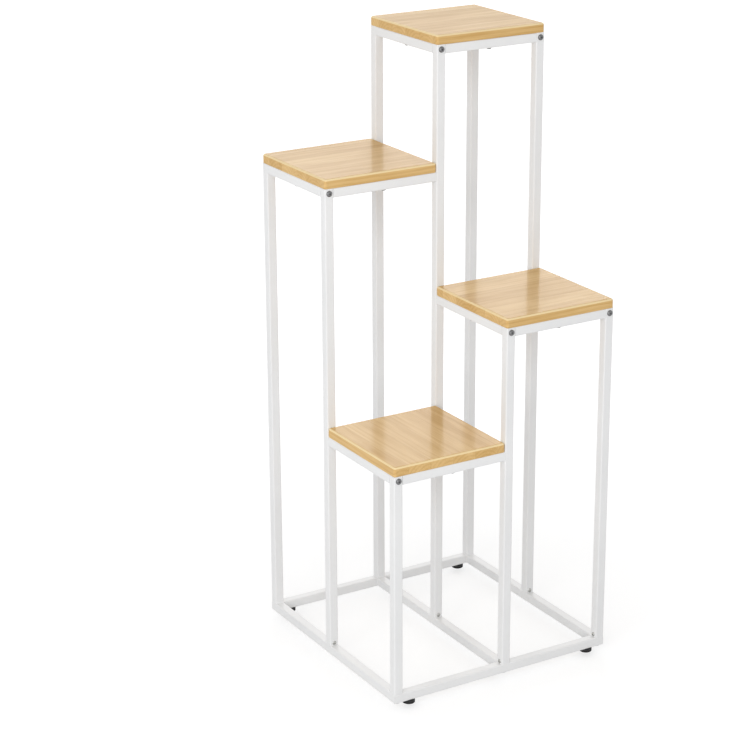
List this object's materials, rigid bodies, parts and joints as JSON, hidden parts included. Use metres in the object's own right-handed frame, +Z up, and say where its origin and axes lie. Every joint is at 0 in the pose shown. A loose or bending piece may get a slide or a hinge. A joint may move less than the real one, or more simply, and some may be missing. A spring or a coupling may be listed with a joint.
{
  "type": "tiered_plant_stand",
  "caption": "Tiered plant stand with square wooden shelves at stepped heights on a white square-tube steel frame, standing on small black levelling feet.",
  "frame": {"origin": "on the floor, under the middle of the square footprint", "axes": "+Z up; -Y is the front, the side of the lowest and the second shelf; -X is the left side, the side of the lowest and the third shelf"},
  "size_m": [0.4, 0.4054, 1],
  "materials": {
    "frame_paint": "off-white powder coat, fine even texture, satin",
    "board_wood": "light glued-up hardwood boards, fine straight grain, clear satin lacquer",
    "bolt_steel": "nickel-plated steel, domed heads, soft shine",
    "screw_steel": "zinc-plated steel, dull shine",
    "insert_steel": "zinc-plated steel, hidden in the tubes",
    "zinc_steel": "zinc-plated steel with a cut thread",
    "knob_plastic": "black moulded nylon, matt, fine ribs round the rim",
    "foot_rubber": "black rubber sole, matt"
  },
  "bodies": {
    "frame": {"base_back_rail": "frame_paint", "base_bolts": "bolt_steel", "base_front_rail": "frame_paint", "base_left_rail": "frame_paint", "base_middle_rail": "frame_paint", "base_right_rail": "frame_paint", "board_screws": "screw_steel", "bottom_shelf_board": "board_wood", "bottom_shelf_corner_tab": "frame_paint", "bottom_shelf_front_rail": "frame_paint", "bottom_shelf_left_rail": "frame_paint", "corner_tab_screw": "screw_steel", "foot_nuts": "zinc_steel", "post_back_left": "frame_paint", "post_back_middle": "frame_paint", "post_back_right": "frame_paint", "post_centre": "frame_paint", "post_front_left": "frame_paint", "post_front_middle": "frame_paint", "post_front_right": "frame_paint", "post_inserts": "insert_steel", "post_middle_left": "frame_paint", "post_middle_right": "frame_paint", "rail_bolts": "bolt_steel", "rail_inserts": "insert_steel", "second_shelf_board": "board_wood", "second_shelf_front_rail": "frame_paint", "second_shelf_left_rail": "frame_paint", "second_shelf_right_rail": "frame_paint", "third_shelf_back_rail": "frame_paint", "third_shelf_board": "board_wood", "third_shelf_front_rail": "frame_paint", "third_shelf_left_rail": "frame_paint", "top_shelf_back_rail": "frame_paint", "top_shelf_board": "board_wood", "top_shelf_front_rail": "frame_paint", "top_shelf_left_rail": "frame_paint", "top_shelf_right_rail": "frame_paint"},
    "sole_front_left": {"foot_sole_front_left": "foot_rubber"},
    "screw_front_left": {"foot_knob_front_left": "knob_plastic", "foot_stud_front_left": "zinc_steel"},
    "sole_front_right": {"foot_sole_front_right": "foot_rubber"},
    "screw_front_right": {"foot_knob_front_right": "knob_plastic", "foot_stud_front_right": "zinc_steel"},
    "sole_back_left": {"foot_sole_back_left": "foot_rubber"},
    "screw_back_left": {"foot_knob_back_left": "knob_plastic", "foot_stud_back_left": "zinc_steel"},
    "sole_back_right": {"foot_sole_back_right": "foot_rubber"},
    "screw_back_right": {"foot_knob_back_right": "knob_plastic", "foot_stud_back_right": "zinc_steel"}
  },
  "joints": [
    {"name": "extend_front_left", "type": "slide", "parent": "frame", "child": "sole_front_left", "axis": [0, 0, -1], "range_m": [0, 0.008]},
    {"name": "turn_front_left", "type": "hinge", "parent": "sole_front_left", "child": "screw_front_left", "pos_m": [-0.17, -0.1925, 0], "axis": [0, 0, 1], "range_deg": [0, 2880]},
    {"name": "extend_front_right", "type": "slide", "parent": "frame", "child": "sole_front_right", "axis": [0, 0, -1], "range_m": [0, 0.008]},
    {"name": "turn_front_right", "type": "hinge", "parent": "sole_front_right", "child": "screw_front_right", "pos_m": [0.17, -0.1925, 0], "axis": [0, 0, 1], "range_deg": [0, 2880]},
    {"name": "extend_back_left", "type": "slide", "parent": "frame", "child": "sole_back_left", "axis": [0, 0, -1], "range_m": [0, 0.008]},
    {"name": "turn_back_left", "type": "hinge", "parent": "sole_back_left", "child": "screw_back_left", "pos_m": [-0.17, 0.1925, 0], "axis": [0, 0, 1], "range_deg": [0, 2880]},
    {"name": "extend_back_right", "type": "slide", "parent": "frame", "child": "sole_back_right", "axis": [0, 0, -1], "range_m": [0, 0.008]},
    {"name": "turn_back_right", "type": "hinge", "parent": "sole_back_right", "child": "screw_back_right", "pos_m": [0.17, 0.1925, 0], "axis": [0, 0, 1], "range_deg": [0, 2880]}
  ],
  "couplings": [
    {"joint": "turn_front_left", "follows": "extend_front_left", "rad_per_m": 6283.2},
    {"joint": "turn_front_right", "follows": "extend_front_right", "rad_per_m": 6283.2},
    {"joint": "turn_back_left", "follows": "extend_back_left", "rad_per_m": 6283.2},
    {"joint": "turn_back_right", "follows": "extend_back_right", "rad_per_m": 6283.2}
  ]
}
